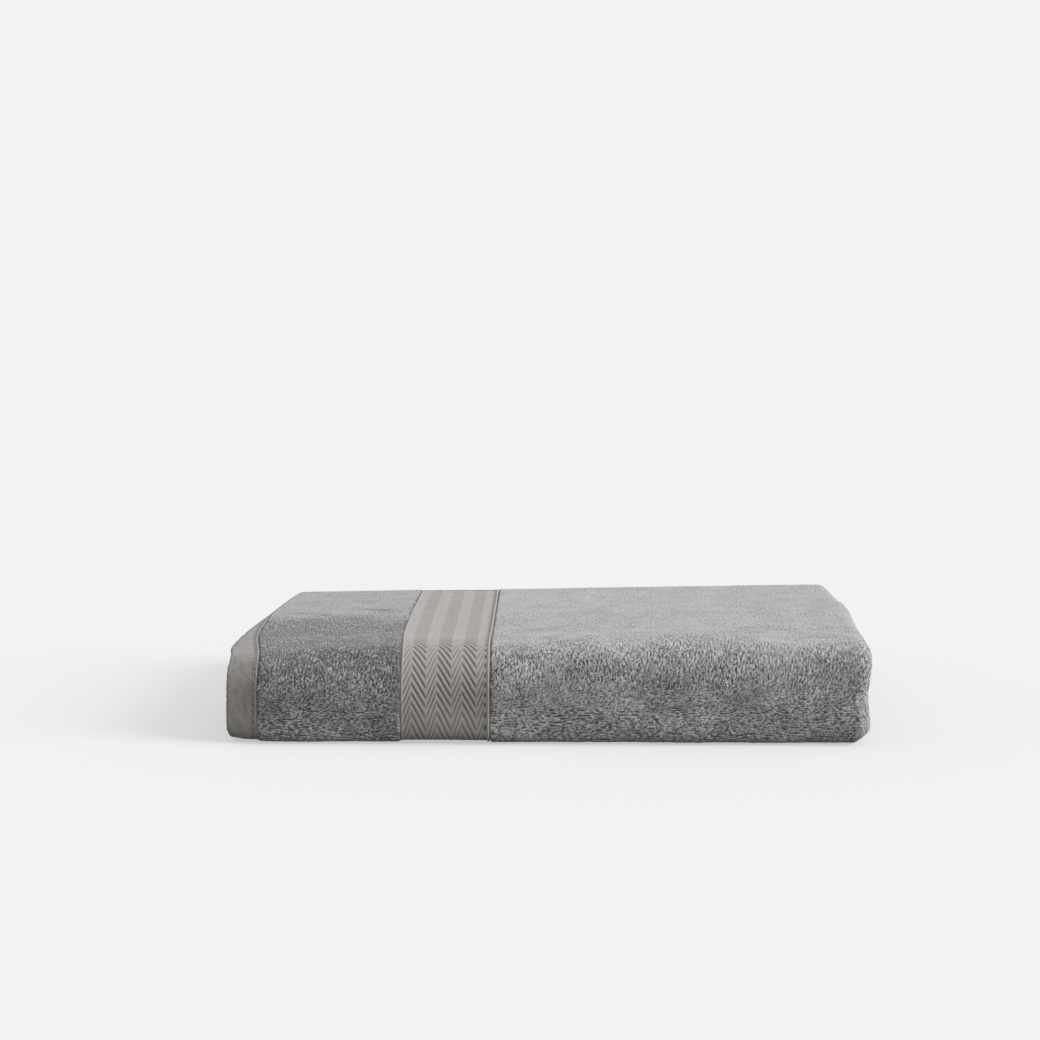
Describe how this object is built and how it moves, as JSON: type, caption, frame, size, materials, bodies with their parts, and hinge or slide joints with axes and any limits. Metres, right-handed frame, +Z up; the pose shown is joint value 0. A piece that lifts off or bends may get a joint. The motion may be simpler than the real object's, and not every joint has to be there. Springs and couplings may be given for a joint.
{
  "type": "folded bath towel",
  "caption": "Folded terry bath towel with flat end hems, a herringbone woven border and side hems, lying as a neat stack for a shelf.",
  "frame": {"origin": "middle of the footprint, on the surface that the towel lies on", "axes": "+X along the folded stack from the hem end to the fold end, +Y from the round front fold to the free edges at the back, +Z up"},
  "size_m": [0.3535, 0.2446, 0.0525],
  "materials": {
    "terry": "looped cotton pile, matt, slightly purple mid grey",
    "woven": "flat woven cotton, matt, warm grey",
    "thread": "cotton sewing thread, warm light grey",
    "label": "blank woven satin tape, off white"
  },
  "bodies": {
    "root": {"terry_field": "terry", "terry_strip_outer": "terry", "terry_strip_inner": "terry", "woven_border_outer": "woven", "woven_border_inner": "woven", "border_rib_outer": "woven", "border_rib_inner": "woven", "end_hem_outer": "woven", "end_hem_inner": "woven", "end_hem_stitches_outer": "thread", "end_hem_stitches_inner": "thread", "side_hem_back": "woven", "side_hem_middle": "woven", "side_hem_stitches_back": "thread", "side_hem_stitches_middle": "thread", "care_label": "label"}
  },
  "joints": []
}
